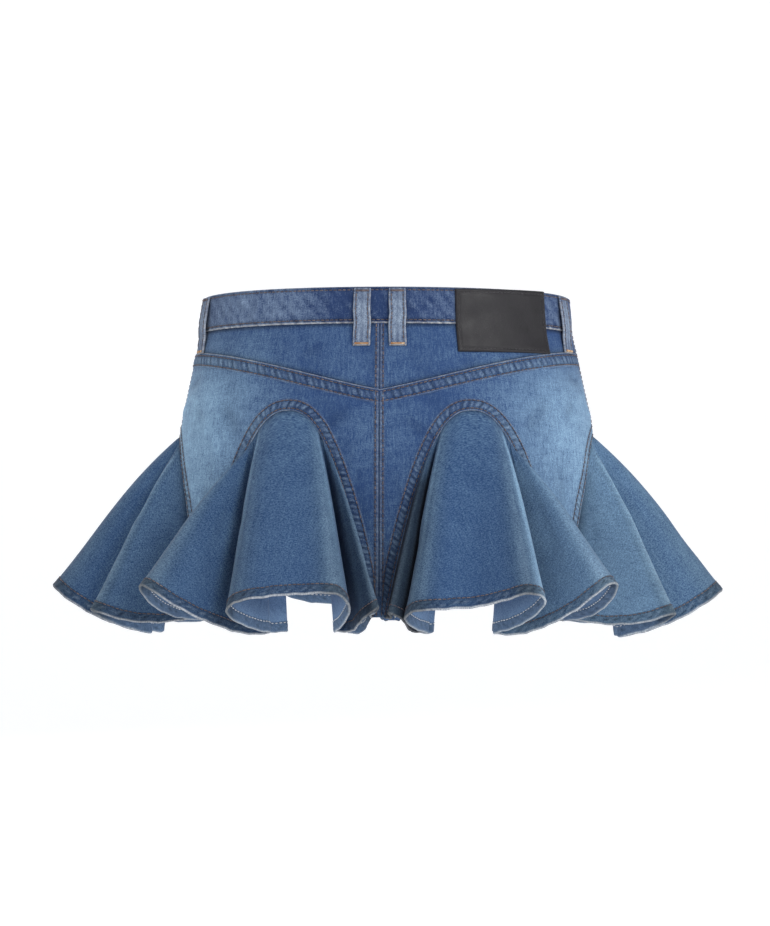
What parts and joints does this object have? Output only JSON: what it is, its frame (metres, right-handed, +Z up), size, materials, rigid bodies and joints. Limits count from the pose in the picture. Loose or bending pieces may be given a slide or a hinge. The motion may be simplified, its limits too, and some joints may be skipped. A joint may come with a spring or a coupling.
{
  "type": "denim skirt",
  "caption": "Very short low-rise denim skirt in its worn shape, with a lapped waistband, V yoke, belt loops, leather patch and fluted godets set in arches.",
  "frame": {"origin": "middle of the ring that the waistband makes round the wearer, at the mount wearer_waist", "axes": "+Z up the wearer, -Y the way the wearer faces, +X the wearer's left"},
  "size_m": [0.5358, 0.3833, 0.2766],
  "materials": {
    "denim": "worn mid-blue twill, faded at the hips and seams",
    "godet_denim": "mid-blue twill, paler along the folds",
    "black_leather": "smooth, softly shining",
    "zip_tape": "dark woven tape with brass teeth",
    "brass": "aged"
  },
  "bodies": {
    "root": {"waistband": "denim", "yoke_left": "denim", "yoke_right": "denim", "back_panel_left": "denim", "back_panel_right": "denim", "front_panel_left": "denim", "front_panel_right": "denim", "godet_back_left": "godet_denim", "godet_back_right": "godet_denim", "godet_side_left": "godet_denim", "godet_side_right": "godet_denim", "godet_front_left": "godet_denim", "godet_front_right": "godet_denim", "loop_back_left": "denim", "loop_back_right": "denim", "loop_side_left": "denim", "loop_side_right": "denim", "loop_front_left": "denim", "loop_front_right": "denim", "patch": "black_leather", "zip": "zip_tape", "zip_slider": "brass", "button": "brass"}
  },
  "joints": []
}
